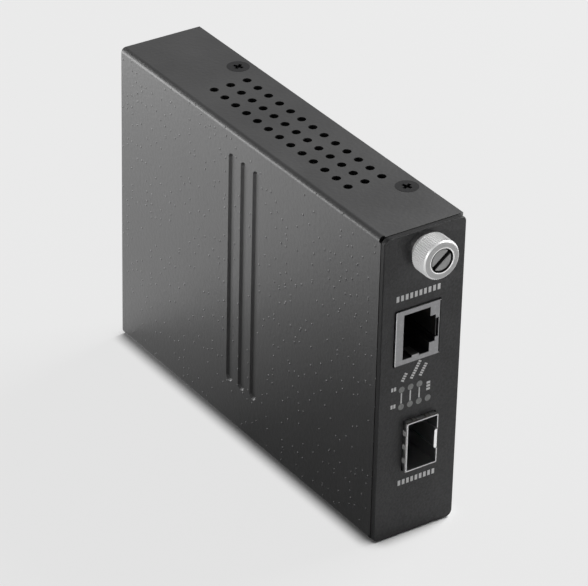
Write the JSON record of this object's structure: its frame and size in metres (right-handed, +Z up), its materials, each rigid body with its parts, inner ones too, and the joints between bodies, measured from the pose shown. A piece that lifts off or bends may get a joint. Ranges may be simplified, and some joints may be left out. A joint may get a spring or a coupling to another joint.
{
  "type": "fibre media converter",
  "caption": "Slim black steel box with a copper network socket and an optical module slot in its narrow front; the front card slides out once its thumbscrew is undone.",
  "frame": {"origin": "middle of the bottom face, on which the converter stands upright", "axes": "+X to the right seen from the front, +Y from the front plate to the rear wall, +Z up"},
  "size_m": [0.0244, 0.1281, 0.088],
  "materials": {
    "cover_paint": "semi-gloss black powder coat",
    "tray_paint": "semi-gloss black powder coat",
    "plate_paint": "fine matt black powder coat",
    "black_screw": "black oxide",
    "zinc_steel": "zinc plated",
    "nickel": "bright nickel plate",
    "tinned_steel": "satin tin plate",
    "spring_bronze": "tinned bronze",
    "black_moulding": "moulded",
    "nylon": "moulded nylon",
    "laminate": "green solder mask",
    "chip_epoxy": "moulded epoxy",
    "gold": "gold flash",
    "lamp_lens": "clear diffuse resin",
    "ferrite": "sintered",
    "can_aluminium": "bright sleeve",
    "can_steel": "bright can"
  },
  "bodies": {
    "sleeve": {"cover": "cover_paint", "base_tray": "tray_paint", "cover_screws": "black_screw", "latch_bracket": "zinc_steel", "clinch_nut": "zinc_steel", "guide_front_upper": "nylon", "guide_front_lower": "nylon", "guide_rear_upper": "nylon", "guide_rear_lower": "nylon"},
    "card": {"front_plate": "plate_paint", "circuit_board": "laminate", "board_bracket_upper": "zinc_steel", "board_bracket_lower": "zinc_steel", "board_screws": "zinc_steel", "rj45_shield": "tinned_steel", "rj45_housing": "black_moulding", "rj45_contacts": "gold", "sfp_cage": "tinned_steel", "sfp_emi_springs": "spring_bronze", "sfp_host_housing": "black_moulding", "sfp_host_contacts": "gold", "led_holder_upper": "black_moulding", "led_holder_lower": "black_moulding", "dc_jack_body": "black_moulding", "dc_jack_pin": "nickel", "dc_jack_spring": "spring_bronze", "main_chip": "chip_epoxy", "lan_transformer": "chip_epoxy", "memory_chip": "chip_epoxy", "voltage_regulator": "chip_epoxy", "component_leads": "tinned_steel", "crystal": "can_steel", "power_inductor": "ferrite", "capacitor_rear": "can_aluminium", "capacitor_front": "can_aluminium", "thumbscrew_ferrule": "nickel", "lamp_upper_1": "lamp_lens", "lamp_upper_2": "lamp_lens", "lamp_upper_3": "lamp_lens", "lamp_lower_1": "lamp_lens", "lamp_lower_2": "lamp_lens", "lamp_lower_3": "lamp_lens", "lamp_lower_4": "lamp_lens"},
    "thumbscrew_carrier": {"thumbscrew_spring": "zinc_steel"},
    "thumbscrew": {"thumbscrew_knob": "nickel", "thumbscrew_stud": "nickel"}
  },
  "joints": [
    {"name": "card_slide", "type": "slide", "parent": "sleeve", "child": "card", "axis": [0, -1, 0], "range_m": [0, 0.118]},
    {"name": "thumbscrew_advance", "type": "slide", "parent": "card", "child": "thumbscrew_carrier", "axis": [0, -1, 0], "range_m": [0, 0.004], "deforming": ["thumbscrew_spring"]},
    {"name": "thumbscrew_turn", "type": "hinge", "parent": "thumbscrew_carrier", "child": "thumbscrew", "pos_m": [0, -0.0605, 0.0823], "axis": [0, -1, 0], "range_deg": [0, 2880]}
  ],
  "couplings": [
    {"joint": "thumbscrew_turn", "follows": "thumbscrew_advance", "rad_per_m": 12566}
  ]
}
